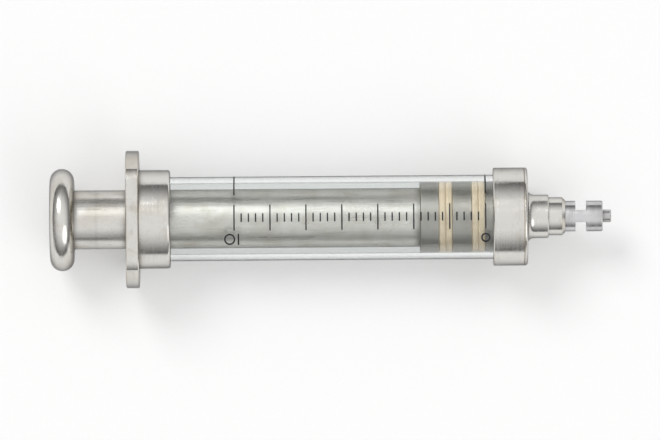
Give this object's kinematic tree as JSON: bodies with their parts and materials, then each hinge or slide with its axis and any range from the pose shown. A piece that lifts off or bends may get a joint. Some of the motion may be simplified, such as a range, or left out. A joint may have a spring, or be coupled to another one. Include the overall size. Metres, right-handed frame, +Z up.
{
  "type": "medical syringe",
  "caption": "Glass and plated-metal syringe with a sliding plunger, flat-sided finger flange, volume scale and a notched locking nose.",
  "frame": {"origin": "centre of the bounding box's bottom face, under the middle of the syringe as it lies on the flat of its finger flange", "axes": "+X along the syringe's axis towards the outlet tip, +Y along the finger flange's long way, +Z up, from the flat that it lies on towards the scale"},
  "size_m": [0.12, 0.0294, 0.022],
  "materials": {
    "clear_glass": "clear drawn glass with fire-polished ends",
    "black_enamel": "fired black enamel",
    "nickel_plate": "bright nickel plate on turned brass",
    "bare_brass": "turned brass",
    "bright_steel": "turned and polished steel",
    "pale_leather": "pale tanned leather, greased",
    "plaster_cement": "hard white cement"
  },
  "bodies": {
    "barrel": {"glass_barrel": "clear_glass", "scale_lines": "black_enamel", "scale_digits": "black_enamel", "rear_collar": "nickel_plate", "rear_cement": "plaster_cement", "rear_gasket": "pale_leather", "finger_flange": "nickel_plate", "guide_bush": "bare_brass", "front_ferrule": "nickel_plate", "front_cement": "plaster_cement", "front_gasket": "pale_leather", "nozzle_head": "nickel_plate", "gland_washer": "pale_leather", "gland_nut": "nickel_plate", "lock_nose": "bright_steel", "outlet_tip": "bright_steel"},
    "packings": {"rear_packing": "pale_leather", "front_packing": "pale_leather"},
    "plunger": {"thumb_knob": "nickel_plate", "tie_nut": "bright_steel", "tie_rod": "bright_steel", "plunger_rod": "nickel_plate", "piston_back_disc": "nickel_plate", "piston_spacer": "nickel_plate", "piston_nose": "nickel_plate"}
  },
  "joints": [
    {"name": "plunger_slide", "type": "slide", "parent": "barrel", "child": "packings", "axis": [-1, 0, 0], "range_m": [0, 0.0597]},
    {"name": "plunger_turn", "type": "hinge", "parent": "packings", "child": "plunger", "pos_m": [0, 0, 0.011], "axis": [1, 0, 0], "continuous": true}
  ]
}
